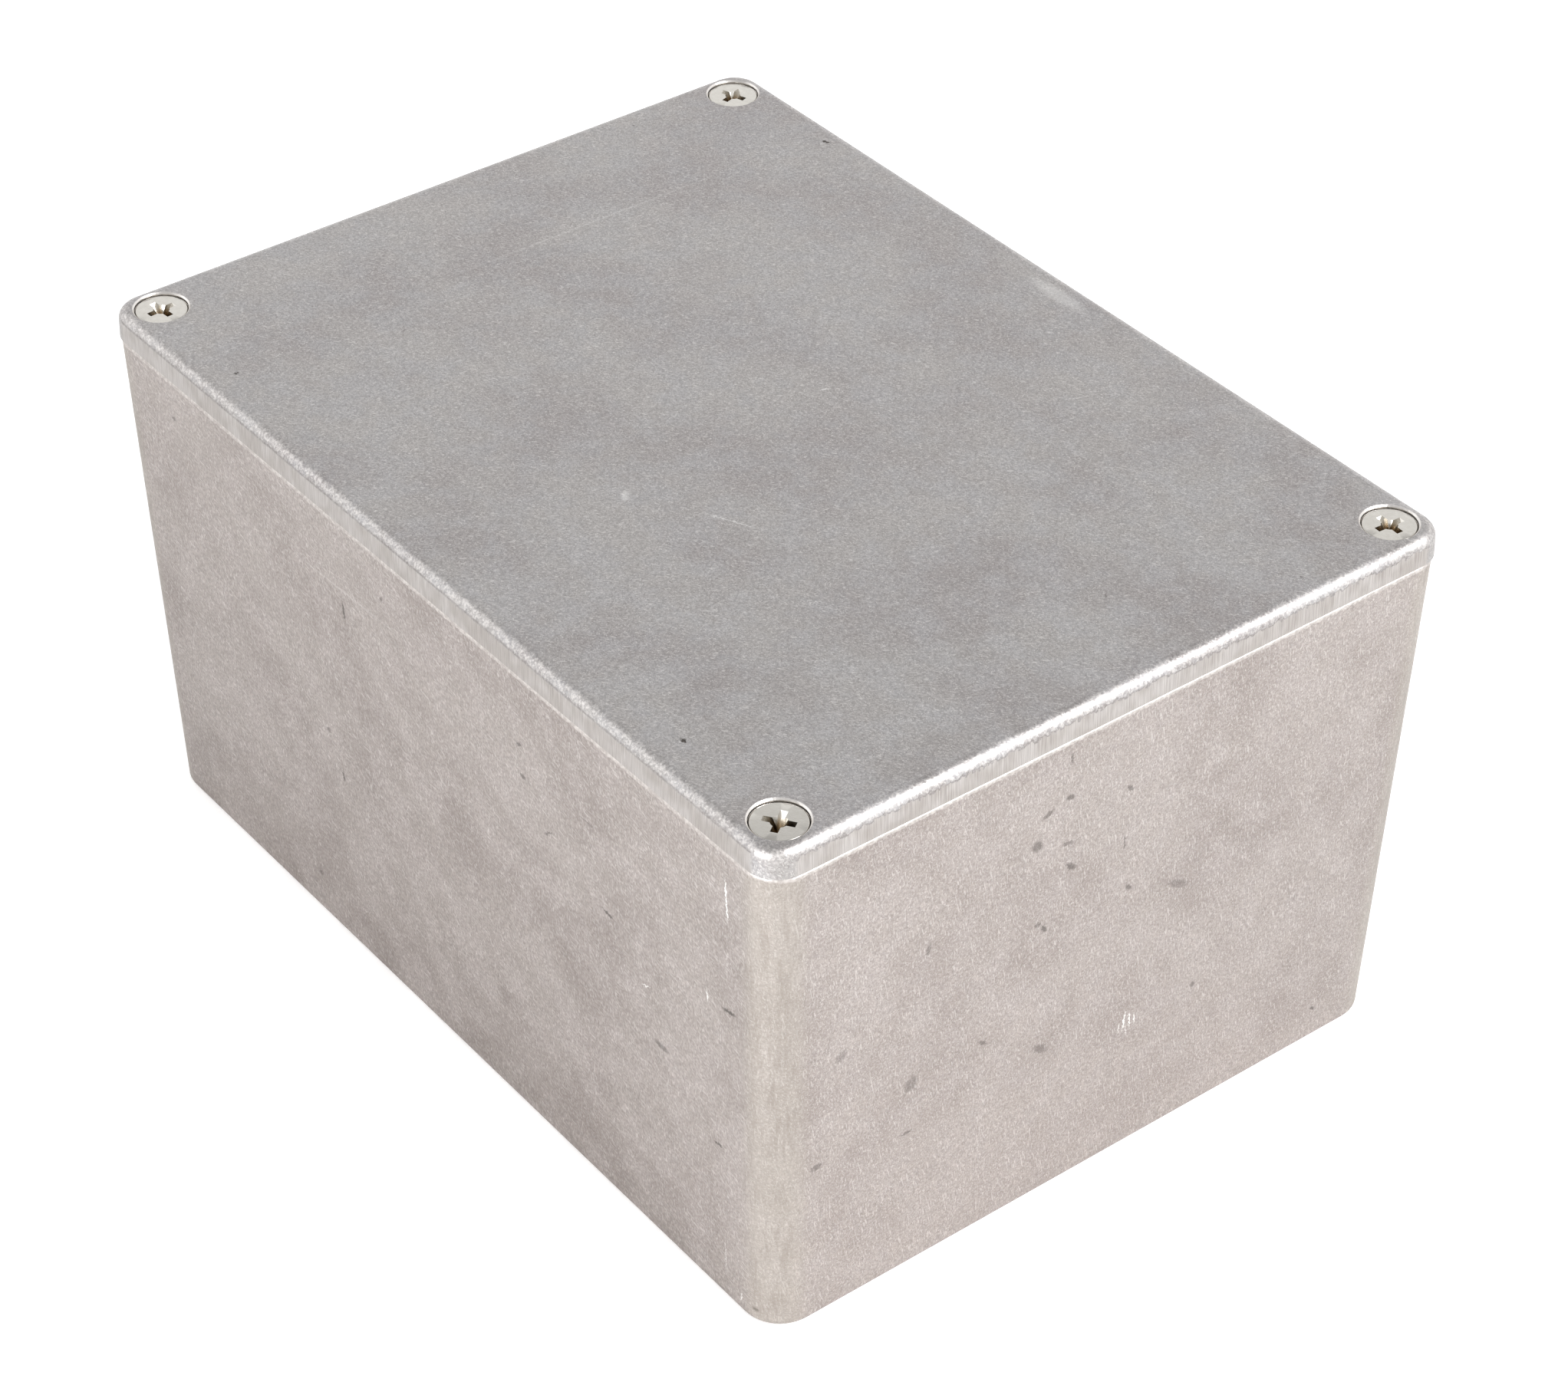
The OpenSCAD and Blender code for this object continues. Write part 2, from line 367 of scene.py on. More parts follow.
@dataclass(frozen=True)
class CastFinish:
    """Tumbled die cast aluminium: satin grey metal, softly clouded, flecked and nicked.

    Args:
        name: Name of the material.
        tone: Main colour.
        cloud: Colour of the darker clouds.
        pale: Colour of the paler, bluish clouds.
        dark_marks: Dents and pits, whose shade is painted dark.
        light_marks: Bright scratches.
        seed: Offset of the patterns, so that no two castings match.
    """

    name: str
    tone: str
    cloud: str
    pale: str
    dark_marks: tuple[Mark, ...] = ()
    light_marks: tuple[Mark, ...] = ()
    seed: float = 0.0
    roughness: float = 0.47
    cloud_mm: float = 17.0
    patch_mm: float = 4.5
    grain_mm: float = 0.32
    fleck_len_mm: float = 1.15
    fleck_width_mm: float = 0.17

    def coordinates(self, sheet: Sheet) -> dict[str, bpy.types.NodeSocket]:
        """Object coordinates in millimetres, with their sizes.

        Args:
            sheet: The material's nodes.

        Returns:
            The sockets: place (metres), x, y, z, ax and ay (millimetres).
        """
        place = sheet.add("ShaderNodeTexCoord", output="Object")
        scaled = sheet.add(
            "ShaderNodeVectorMath", {"operation": "SCALE"}, {0: place, "Scale": 1 / MM}
        )
        node = self.split(sheet, scaled)
        node["place"] = place
        node["mm"] = scaled
        for axis in ("x", "y"):
            node["a" + axis] = sheet.add(
                "ShaderNodeMath", {"operation": "ABSOLUTE"}, {0: node[axis]}
            )
        return node

    @staticmethod
    def split(sheet: Sheet, vector: bpy.types.NodeSocket) -> dict[str, bpy.types.NodeSocket]:
        """Splits a vector into x, y and z."""
        first = sheet.add("ShaderNodeSeparateXYZ", None, {0: vector})
        return {axis: first.node.outputs[i] for i, axis in enumerate("xyz")}

    def pattern(
        self, sheet: Sheet, vector: bpy.types.NodeSocket, size_mm: float, detail: float,
        shift: float, sharp: tuple[float, float] = (0.35, 0.65),
    ) -> bpy.types.NodeSocket:
        """Noise of a real size, stretched to run from 0 to 1.

        Args:
            sheet: The material's nodes.
            vector: Object coordinates in metres.
            size_mm: Size of its features.
            detail: How many finer layers it has.
            shift: Offset of the pattern.
            sharp: The levels that become 0 and 1.

        Returns:
            The pattern.
        """
        moved = sheet.add(
            "ShaderNodeVectorMath", {"operation": "ADD"},
            {0: vector, 1: (0.131 * (self.seed + shift), 0.077 * shift, 0.053 * self.seed)},
        )
        raw = sheet.add(
            "ShaderNodeTexNoise", None,
            {"Vector": moved, "Scale": 1 / (size_mm * MM), "Detail": detail, "Roughness": 0.55},
        )
        return sheet.add(
            "ShaderNodeMapRange", {"interpolation_type": "SMOOTHSTEP"},
            {0: raw, 1: sharp[0], 2: sharp[1]},
        )

    def flecks(
        self, sheet: Sheet, vector: bpy.types.NodeSocket, shift: float, level: float
    ) -> bpy.types.NodeSocket:
        """Short nicks that lie every way, as tumbling leaves them.

        Args:
            sheet: The material's nodes.
            vector: Object coordinates in metres.
            shift: Offset of the pattern.
            level: Noise level above which a nick shows.

        Returns:
            Their mask.
        """
        turns = ((0.2, 0.4, 0.6), (0.5, -0.7, -0.9), (-0.3, 1.0, 1.9))
        total = None
        for turn in turns:
            bent = tuple(t + 0.37 * shift + 0.11 * self.seed for t in turn)
            size = (self.fleck_len_mm * MM, self.fleck_width_mm * MM, self.fleck_width_mm * MM)
            lane = sheet.add(
                "ShaderNodeMapping", {"vector_type": "TEXTURE"},
                {"Vector": vector, "Rotation": bent, "Scale": size},
            )
            raw = sheet.add(
                "ShaderNodeTexNoise", None, {"Vector": lane, "Scale": 1.0, "Detail": 0.0}
            )
            mask = sheet.add(
                "ShaderNodeMapRange", None, {0: raw, 1: level, 2: level + 0.07}
            )
            total = mask if total is None else sheet.add(
                "ShaderNodeMath", {"operation": "MAXIMUM"}, {0: total, 1: mask}
            )
        return total

    def marks(
        self, sheet: Sheet, mm: bpy.types.NodeSocket, marks: tuple[Mark, ...]
    ) -> bpy.types.NodeSocket | None:
        """Mask of the listed marks, with ragged edges.

        Args:
            sheet: The material's nodes.
            mm: Object coordinates in millimetres.
            marks: The marks.

        Returns:
            Their mask, or None if there are none.
        """
        if not marks:
            return None
        ragged = sheet.add(
            "ShaderNodeTexNoise", None, {"Vector": mm, "Scale": 3.4, "Detail": 0.0}, "Color"
        )
        jitter = sheet.add(
            "ShaderNodeVectorMath", {"operation": "MULTIPLY_ADD"},
            {0: ragged, 1: (0.5, 0.5, 0.5), 2: mm},
        )
        total = None
        for mark in marks:
            centre = (mark.x + 0.25, mark.y + 0.25, mark.z + 0.25)
            local = sheet.add(
                "ShaderNodeMapping", {"vector_type": "TEXTURE"},
                {"Vector": jitter, "Location": centre, "Scale": mark.size,
                 "Rotation": tuple(math.radians(a) for a in mark.turn)},
            )
            far = sheet.add("ShaderNodeVectorMath", {"operation": "LENGTH"}, {0: local}, "Value")
            mask = sheet.add(
                "ShaderNodeMapRange", None, {0: far, 1: 1.15, 2: 0.55, 3: 0.0, 4: mark.depth}
            )
            total = mask if total is None else sheet.add(
                "ShaderNodeMath", {"operation": "MAXIMUM"}, {0: total, 1: mask}
            )
        return total

    @staticmethod
    def blend(
        sheet: Sheet, factor: Source, under: Source, over: Source, kind: str = "MIX"
    ) -> bpy.types.NodeSocket:
        """Lays one colour over another by a mask."""
        return sheet.add(
            "ShaderNodeMix", {"data_type": "RGBA", "blend_type": kind},
            {0: factor, 6: under, 7: over}, 2,
        )

    def zones(
        self, sheet: Sheet, at: dict[str, bpy.types.NodeSocket], colour: bpy.types.NodeSocket,
        rough: bpy.types.NodeSocket,
    ) -> tuple[bpy.types.NodeSocket, bpy.types.NodeSocket]:
        """Adds what is special to one casting; a plain casting has nothing."""
        return colour, rough

    def build(self) -> bpy.types.Material:
        """Makes the material.

        Returns:
            The material.
        """
        sheet = Sheet(self.name, {"Metallic": 1.0})
        at = self.coordinates(sheet)
        place = at["place"]
        clouds = self.pattern(sheet, place, self.cloud_mm, 2.0, 0.0, (0.38, 0.66))
        patches = self.pattern(sheet, place, self.patch_mm, 3.0, 5.0, (0.36, 0.68))
        grain = self.pattern(sheet, place, self.grain_mm, 1.0, 9.0, (0.25, 0.75))
        dark = self.flecks(sheet, place, 1.0, 0.69)
        light = self.flecks(sheet, place, 2.0, 0.69)
        half = sheet.add("ShaderNodeMath", {"operation": "MULTIPLY"}, {0: clouds, 1: 0.75})
        part = sheet.add("ShaderNodeMath", {"operation": "MULTIPLY"}, {0: patches, 1: 0.5})
        colour = self.blend(sheet, half, linear(self.tone), linear(self.cloud))
        colour = self.blend(sheet, part, colour, linear(self.pale))
        tint = self.blend(sheet, grain, linear("#e2e1e0"), linear("#fffefd"))
        colour = self.blend(sheet, 1.0, colour, tint, "MULTIPLY")
        for mask, share, paint in (
            (dark, 0.32, "#857d78"), (light, 0.34, "#f0edea"),
        ):
            faint = sheet.add("ShaderNodeMath", {"operation": "MULTIPLY"}, {0: mask, 1: share})
            colour = self.blend(sheet, faint, colour, linear(paint))
        shaded_dents = self.marks(sheet, at["mm"], self.dark_marks)
        if shaded_dents is not None:
            # Painted shade: the dents and pits have no relief here, so the shade in them is painted as a
            # dark colour
            colour = self.blend(sheet, shaded_dents, colour, linear("#55504c"))
        scores = self.marks(sheet, at["mm"], self.light_marks)
        if scores is not None:
            colour = self.blend(sheet, scores, colour, linear("#fbfaf8"))
        rough = sheet.add(
            "ShaderNodeMapRange", None,
            {0: patches, 3: self.roughness - 0.05, 4: self.roughness + 0.07},
        )
        relief = sheet.add("ShaderNodeMath", {"operation": "MULTIPLY"}, {0: grain, 1: 0.013})
        colour, rough = self.zones(sheet, at, colour, rough)
        bump = sheet.add(
            "ShaderNodeBump", None, {"Height": relief, "Distance": MM, "Strength": 1.0}
        )
        sheet.feed("Base Color", colour)
        sheet.feed("Roughness", rough)
        sheet.feed("Normal", bump)
        return sheet.material


@dataclass(frozen=True)
class LidFinish(CastFinish):
    """The cast finish with the lid's worn edge, lightened by a painted glint highlight, and the linished
    band on its sides.

    Args:
        half_x: Half the length of the lid.
        half_y: Half its width.
        corner_r: Radius of its corners.
        top_z: Height of its top; not used.
        joint_z: Height of its underside; not used.
        band_z: Height of the upper edge of the linished band.
        edge_w: Width of the worn edge on the top, which carries the painted glint.
        screw_inset: Distance of each screw from the two nearest sides.
        hole_r: Radius of a screw hole at its mouth.
    """

    half_x: float = 70.0
    half_y: float = 51.0
    corner_r: float = 4.1
    top_z: float = 76.0
    joint_z: float = 72.1
    band_z: float = 74.75
    edge_w: float = 1.5
    screw_inset: float = 5.2
    hole_r: float = 3.74

    def edge_inset(
        self, sheet: Sheet, at: dict[str, bpy.types.NodeSocket]
    ) -> bpy.types.NodeSocket:
        """How far a point lies inside the outline of the lid.

        Args:
            sheet: The material's nodes.
            at: The coordinates.

        Returns:
            The distance, in millimetres.
        """
        spread = sheet.add(
            "ShaderNodeCombineXYZ", None, {0: at["ax"], 1: at["ay"], 2: 0.0}
        )
        core = (self.half_x - self.corner_r, self.half_y - self.corner_r, 0.0)
        past = sheet.add(
            "ShaderNodeVectorMath", {"operation": "SUBTRACT"}, {0: spread, 1: core}
        )
        outer = sheet.add(
            "ShaderNodeVectorMath", {"operation": "MAXIMUM"}, {0: past, 1: (0.0, 0.0, 0.0)}
        )
        reach = sheet.add("ShaderNodeVectorMath", {"operation": "LENGTH"}, {0: outer}, "Value")
        parts = self.split(sheet, past)
        widest = sheet.add(
            "ShaderNodeMath", {"operation": "MAXIMUM"}, {0: parts["x"], 1: parts["y"]}
        )
        inner = sheet.add("ShaderNodeMath", {"operation": "MINIMUM"}, {0: widest, 1: 0.0})
        total = sheet.add("ShaderNodeMath", {"operation": "ADD"}, {0: reach, 1: inner})
        return sheet.add(
            "ShaderNodeMath", {"operation": "SUBTRACT"}, {0: self.corner_r, 1: total}
        )

    def zones(
        self, sheet: Sheet, at: dict[str, bpy.types.NodeSocket], colour: bpy.types.NodeSocket,
        rough: bpy.types.NodeSocket,
    ) -> tuple[bpy.types.NodeSocket, bpy.types.NodeSocket]:
        """Adds the worn edge with its painted glint highlight and the linished band.

        Args:
            sheet: The material's nodes.
            at: The coordinates.
            colour: The colour of the plain casting.
            rough: Its roughness.

        Returns:
            The colour and roughness with both added.
        """
        place = at["place"]
        inset = self.edge_inset(sheet, at)
        wave = self.pattern(sheet, place, 2.2, 2.0, 31.0, (0.2, 0.8))
        wavy = sheet.add(
            "ShaderNodeMath", {"operation": "MULTIPLY_ADD"}, {0: wave, 1: 0.7, 2: inset}
        )
        wear_and_glint_edge = sheet.add(
            "ShaderNodeMapRange", {"interpolation_type": "SMOOTHSTEP"},
            {0: wavy, 1: self.edge_w + 0.5, 2: self.edge_w - 0.3},
        )
        high = sheet.add(
            "ShaderNodeMapRange", None,
            {0: at["z"], 1: self.band_z - 0.6, 2: self.band_z + 0.2},
        )
        wear_and_glint_edge = sheet.add("ShaderNodeMath", {"operation": "MULTIPLY"}, {0: wear_and_glint_edge, 1: high})
        # Painted glint highlight: bright sparkle laid into the colour of the worn edge, which is also a
        # little smoother
        painted_glint = self.pattern(sheet, place, 0.42, 2.0, 37.0, (0.42, 0.66))
        painted_edge_glint = sheet.add("ShaderNodeMath", {"operation": "MULTIPLY"}, {0: wear_and_glint_edge, 1: painted_glint})
        part = sheet.add("ShaderNodeMath", {"operation": "MULTIPLY"}, {0: painted_edge_glint, 1: 0.45})
        colour = self.blend(sheet, part, colour, linear("#e6e2df"))
        slick = sheet.add("ShaderNodeMath", {"operation": "MULTIPLY"}, {0: wear_and_glint_edge, 1: -0.03})
        rough = sheet.add("ShaderNodeMath", {"operation": "ADD"}, {0: rough, 1: slick})
        # The screw holes are machined, so they are smoother than the casting; their lighter colour is a
        # painted highlight
        spread = sheet.add("ShaderNodeCombineXYZ", None, {0: at["ax"], 1: at["ay"], 2: 0.0})
        axis = (self.half_x - self.screw_inset, self.half_y - self.screw_inset, 0.0)
        away = sheet.add(
            "ShaderNodeVectorMath", {"operation": "DISTANCE"}, {0: spread, 1: axis}, "Value"
        )
        machined_and_sheen = sheet.add(
            "ShaderNodeMapRange", None, {0: away, 1: self.hole_r, 2: self.hole_r - 0.1}
        )
        colour = self.blend(sheet, machined_and_sheen, colour, linear("#dedad6"))
        rough = sheet.add("ShaderNodeMix", {"data_type": "FLOAT"}, {0: machined_and_sheen, 2: rough, 3: 0.3})
        # The band: linishing leaves fine upright lines on the four flat sides alone
        on_end = sheet.add(
            "ShaderNodeMapRange", None, {0: at["ax"], 1: self.half_x - 0.9, 2: self.half_x - 0.4}
        )
        jag = self.pattern(sheet, place, 0.7, 2.0, 41.0, (0.3, 0.7))
        reach = sheet.add(
            "ShaderNodeMapRange", None, {0: on_end, 3: 0.06, 4: 0.55}
        )
        drop = sheet.add("ShaderNodeMath", {"operation": "MULTIPLY"}, {0: jag, 1: reach})
        level = sheet.add("ShaderNodeMath", {"operation": "ADD"}, {0: at["z"], 1: drop})
        under = sheet.add(
            "ShaderNodeMapRange", None, {0: level, 1: self.band_z + 0.06, 2: self.band_z - 0.06}
        )
        corner = None
        for axis, half in (("ax", self.half_x), ("ay", self.half_y)):
            flat = half - self.corner_r
            past = sheet.add(
                "ShaderNodeMapRange", None, {0: at[axis], 1: flat + 0.2, 2: flat + 0.9}
            )
            corner = past if corner is None else sheet.add(
                "ShaderNodeMath", {"operation": "MULTIPLY"}, {0: corner, 1: past}
            )
        off_corner = sheet.add("ShaderNodeMath", {"operation": "SUBTRACT"}, {0: 1.0, 1: corner})
        band = sheet.add("ShaderNodeMath", {"operation": "MULTIPLY"}, {0: under, 1: off_corner})
        outside = sheet.add(
            "ShaderNodeMapRange", None, {0: inset, 1: 0.5, 2: 0.35}
        )
        band = sheet.add("ShaderNodeMath", {"operation": "MULTIPLY"}, {0: band, 1: outside})
        # Drawn at about 0.14 mm, coarser than the real grit lines, so that they show
        lines_at = sheet.add(
            "ShaderNodeMapping", {"vector_type": "TEXTURE"},
            {"Vector": place, "Scale": (0.14 * MM, 0.14 * MM, 9.0 * MM)},
        )
        lines = sheet.add(
            "ShaderNodeTexNoise", None, {"Vector": lines_at, "Scale": 1.0, "Detail": 2.0}
        )
        lines = sheet.add("ShaderNodeMapRange", None, {0: lines, 1: 0.3, 2: 0.7})
        broad = self.pattern(sheet, place, 2.6, 1.0, 47.0, (0.3, 0.7))
        brushed = self.blend(sheet, lines, linear("#aca6a3"), linear("#c9c5c2"))
        brushed = self.blend(
            sheet, 1.0, brushed, self.blend(sheet, broad, linear("#eeecea"), linear("#ffffff")),
            "MULTIPLY",
        )
        colour = self.blend(sheet, band, colour, brushed)
        rough = sheet.add("ShaderNodeMix", {"data_type": "FLOAT"}, {0: band, 2: rough, 3: 0.4})
        # A darker line where the wheel stopped
        lip = sheet.add(
            "ShaderNodeMath", {"operation": "SUBTRACT"}, {0: level, 1: self.band_z + 0.14}
        )
        lip = sheet.add("ShaderNodeMath", {"operation": "ABSOLUTE"}, {0: lip})
        lip = sheet.add("ShaderNodeMapRange", None, {0: lip, 1: 0.22, 2: 0.05, 4: 0.45})
        lip = sheet.add("ShaderNodeMath", {"operation": "MULTIPLY"}, {0: lip, 1: off_corner})
        lip = sheet.add("ShaderNodeMath", {"operation": "MULTIPLY"}, {0: lip, 1: outside})
        colour = self.blend(sheet, lip, colour, linear("#7e7773"))
        return colour, rough


@dataclass(frozen=True)
class BaseFinish(CastFinish):
    """The cast finish with a painted highlight along the base's rim and its stained upright corners.

    Args:
        half_x: Half the length of the base at its rim.
        half_y: Half its width at its rim.
        rim_z: Height of the rim.
        strip_h: Height of the painted highlight strip under the rim.
        draft_deg: Draft of the walls, in degrees.
        corner_r: Radius of the upright corners.
    """

    half_x: float = 69.9
    half_y: float = 50.9
    rim_z: float = 72.0
    strip_h: float = 0.62
    draft_deg: float = 1.3
    corner_r: float = 5.0

    def zones(
        self, sheet: Sheet, at: dict[str, bpy.types.NodeSocket], colour: bpy.types.NodeSocket,
        rough: bpy.types.NodeSocket,
    ) -> tuple[bpy.types.NodeSocket, bpy.types.NodeSocket]:
        """Adds the painted rim highlight and the corner stains.

        Args:
            sheet: The material's nodes.
            at: The coordinates.
            colour: The colour of the plain casting.
            rough: Its roughness.

        Returns:
            The colour and roughness with both added.
        """
        place = at["place"]
        # Upright corners are a little warmer, with streaks that run down them
        depth = sheet.add("ShaderNodeMath", {"operation": "SUBTRACT"}, {0: self.rim_z, 1: at["z"]})
        drawn = sheet.add(
            "ShaderNodeMath", {"operation": "MULTIPLY"},
            {0: depth, 1: math.tan(math.radians(self.draft_deg))},
        )
        corner = None
        for axis, half in (("ax", self.half_x), ("ay", self.half_y)):
            out = sheet.add("ShaderNodeMath", {"operation": "ADD"}, {0: at[axis], 1: drawn})
            past = sheet.add(
                "ShaderNodeMapRange", {"interpolation_type": "SMOOTHSTEP"},
                {0: out, 1: half - self.corner_r - 1.2, 2: half - self.corner_r + 1.8},
            )
            corner = past if corner is None else sheet.add(
                "ShaderNodeMath", {"operation": "MULTIPLY"}, {0: corner, 1: past}
            )
        streak_at = sheet.add(
            "ShaderNodeMapping", {"vector_type": "TEXTURE"},
            {"Vector": place, "Scale": (0.8 * MM, 0.8 * MM, 6.0 * MM)},
        )
        streak = sheet.add(
            "ShaderNodeTexNoise", None,
            {"Vector": streak_at, "Scale": 1.0, "Detail": 3.0, "Distortion": 0.6},
        )
        streak = sheet.add("ShaderNodeMapRange", None, {0: streak, 1: 0.48, 2: 0.72})
        warm = sheet.add("ShaderNodeMath", {"operation": "MULTIPLY"}, {0: corner, 1: 0.35})
        colour = self.blend(sheet, warm, colour, linear("#b9b3a9"))
        stain = sheet.add("ShaderNodeMath", {"operation": "MULTIPLY"}, {0: corner, 1: streak})
        stain = sheet.add("ShaderNodeMath", {"operation": "MULTIPLY"}, {0: stain, 1: 0.42})
        colour = self.blend(sheet, stain, colour, linear("#948b83"))
        # A painted highlight: a bright ragged strip just under the rim, where its rounded edge catches
        # the light
        ragged = self.pattern(sheet, place, 0.9, 3.0, 51.0, (0.25, 0.75))
        level = sheet.add(
            "ShaderNodeMath", {"operation": "MULTIPLY_ADD"}, {0: ragged, 1: 0.3, 2: at["z"]}
        )
        rim_highlight = sheet.add(
            "ShaderNodeMapRange", None,
            {0: level, 1: self.rim_z - self.strip_h + 0.1, 2: self.rim_z - self.strip_h + 0.24},
        )
        # Painted glints speckle the highlight strip
        painted_glint = self.pattern(sheet, place, 0.5, 2.0, 57.0, (0.35, 0.7))
        highlight_tint = self.blend(sheet, painted_glint, linear("#bbb4b0"), linear("#d6d0cc"))
        colour = self.blend(sheet, rim_highlight, colour, highlight_tint)
        rough = sheet.add("ShaderNodeMix", {"data_type": "FLOAT"}, {0: rim_highlight, 2: rough, 3: 0.42})
        return colour, rough


@dataclass(frozen=True)
class NickelFinish:
    """Bright nickel plate: a smooth, faintly warm mirror, browner where it is deep.

    Args:
        name: Name of the material.
        head_z: Height of the top of the head.
        recess_depth: Depth of the cross recess.
        recess_r: Radius of the cross recess.
        axis_x: Distance of the screws' axes from the middle, along the length.
        axis_y: Distance of the screws' axes from the middle, across the width.
    """

    name: str
    head_z: float
    recess_depth: float
    recess_r: float
    axis_x: float
    axis_y: float

    def build(self) -> bpy.types.Material:
        """Makes the material.

        Returns:
            The material.
        """
        sheet = Sheet(self.name, {"Metallic": 1.0})
        place = sheet.add("ShaderNodeTexCoord", output="Object")
        scaled = sheet.add(
            "ShaderNodeVectorMath", {"operation": "SCALE"}, {0: place, "Scale": 1 / MM}
        )
        z = sheet.add("ShaderNodeSeparateXYZ", None, {0: scaled}, 2)
        soil = sheet.add(
            "ShaderNodeTexNoise", None, {"Vector": scaled, "Scale": 1.4, "Detail": 3.0}
        )
        deep = sheet.add(
            "ShaderNodeMapRange", {"interpolation_type": "SMOOTHSTEP"},
            {0: z, 1: self.head_z - 0.25, 2: self.head_z - self.recess_depth * 0.8},
        )
        flat = sheet.add(
            "ShaderNodeVectorMath", {"operation": "MULTIPLY"}, {0: scaled, 1: (1.0, 1.0, 0.0)}
        )
        flat = sheet.add("ShaderNodeVectorMath", {"operation": "ABSOLUTE"}, {0: flat})
        away = sheet.add(
            "ShaderNodeVectorMath", {"operation": "DISTANCE"},
            {0: flat, 1: (self.axis_x, self.axis_y, 0.0)}, "Value",
        )
        end_z = self.head_z - self.recess_depth
        for source, edge, soft in ((away, self.recess_r, -0.1), (z, end_z - 0.1, 0.05)):
            inside = sheet.add("ShaderNodeMapRange", None, {0: source, 1: edge, 2: edge + soft})
            deep = sheet.add("ShaderNodeMath", {"operation": "MULTIPLY"}, {0: deep, 1: inside})
        deep = sheet.add("ShaderNodeMath", {"operation": "MULTIPLY"}, {0: deep, 1: 0.85})
        clean = sheet.add(
            "ShaderNodeMix", {"data_type": "RGBA"},
            {0: soil, 6: linear("#cfccc6"), 7: linear("#c3bfb8")}, 2,
        )
        colour = sheet.add(
            "ShaderNodeMix", {"data_type": "RGBA"}, {0: deep, 6: clean, 7: linear("#a08b6c")}, 2
        )
        rough = sheet.add("ShaderNodeMapRange", None, {0: soil, 3: 0.13, 4: 0.24})
        fine = sheet.add(
            "ShaderNodeTexNoise", None, {"Vector": scaled, "Scale": 5.0, "Detail": 2.0}
        )
        bump = sheet.add(
            "ShaderNodeBump", None, {"Height": fine, "Distance": 0.004 * MM, "Strength": 1.0}
        )
        sheet.feed("Base Color", colour)
        sheet.feed("Roughness", rough)
        sheet.feed("Normal", bump)
        return sheet.material


# --------------------------------------------------------------------------- the box


@dataclass(frozen=True)
class BoxSizes:
    """Sizes that more than one piece needs.

    Args:
        length: Overall length.
        width: Overall width.
        height: Overall height.
        joint_z: Height of the underside of the lid.
        rim_z: Height of the rim of the base.
        screw_inset: Distance of each screw from the two nearest sides.
        head_sink: How far the heads lie below the top.
        wall_t: Wall thickness at the rim.
        rim_step: How far the rim stands in from the lid.
        pillar_r: Radius of a pillar at the rim.
        mark_d: Diameter of the ejector pin marks.
        mark_h: Height of the ejector pin marks.
    """

    length: float
    width: float
    height: float
    joint_z: float
    rim_z: float
    screw_inset: float = 5.2
    head_sink: float = 0.35
    wall_t: float = 2.6
    rim_step: float = 0.1
    pillar_r: float = 4.2
    mark_d: float = 5.0
    mark_h: float = 0.25

    @classmethod
    def from_frame(cls) -> "BoxSizes":
        """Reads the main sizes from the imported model.

        Returns:
            The sizes.
        """
        low, high = (Vector(p) / MM for p in CAD_BOX)
        rim_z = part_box("box_base")[1].z / MM
        seam_gap = 0.1
        return cls(high.x - low.x, high.y - low.y, high.z - low.z, rim_z + seam_gap, rim_z)

    @property
    def outline(self) -> Outline:
        """The widest outline of the box."""
        return Outline(self.length / 2, self.width / 2)

    def corner(self, side: Side, z: float = 0.0) -> Vector:
        """Place of a screw's axis, at height z."""
        sx, sy = side.value
        return Vector(
            (sx * (self.length / 2 - self.screw_inset), sy * (self.width / 2 - self.screw_inset), z)
        )

    def corners(self, z: float = 0.0) -> list[Vector]:
        """Places of all four screws' axes, at height z."""
        return [self.corner(side, z) for side in Side]

    def carve_corners(self, target: bpy.types.Object, tool: bmesh.types.BMesh) -> bpy.types.Object:
        """Cuts one tool out of a solid at all four screws.

        Args:
            target: The solid.
            tool: The tool, on the Z axis, which is freed.

        Returns:
            The solid.
        """
        for place in self.corners():
            carve(target, to_object(copies(tool.copy(), [place]), "tool"))
        tool.free()
        return target

    def ejector_marks(self, z: float) -> bpy.types.Object:
        """The round marks that the ejector pins leave.

        Args:
            z: Height of their lower ends.

        Returns:
            Their solids, as one object.
        """
        r = self.mark_d / 2
        pin = turned([(0, 0), (r, 0), (r, self.mark_h), (0, self.mark_h)], 40)
        places = [
            Vector((x, y, z))
            for x in (-self.length / 4, 0, self.length / 4)
            for y in (-self.width / 4, self.width / 4)
        ]
        return to_object(copies(pin, places), "ejector marks")


def quarter(steps: int) -> list[float]:
    """Angles that divide a quarter turn."""
    return [math.pi / 2 * i / steps for i in range(steps + 1)]


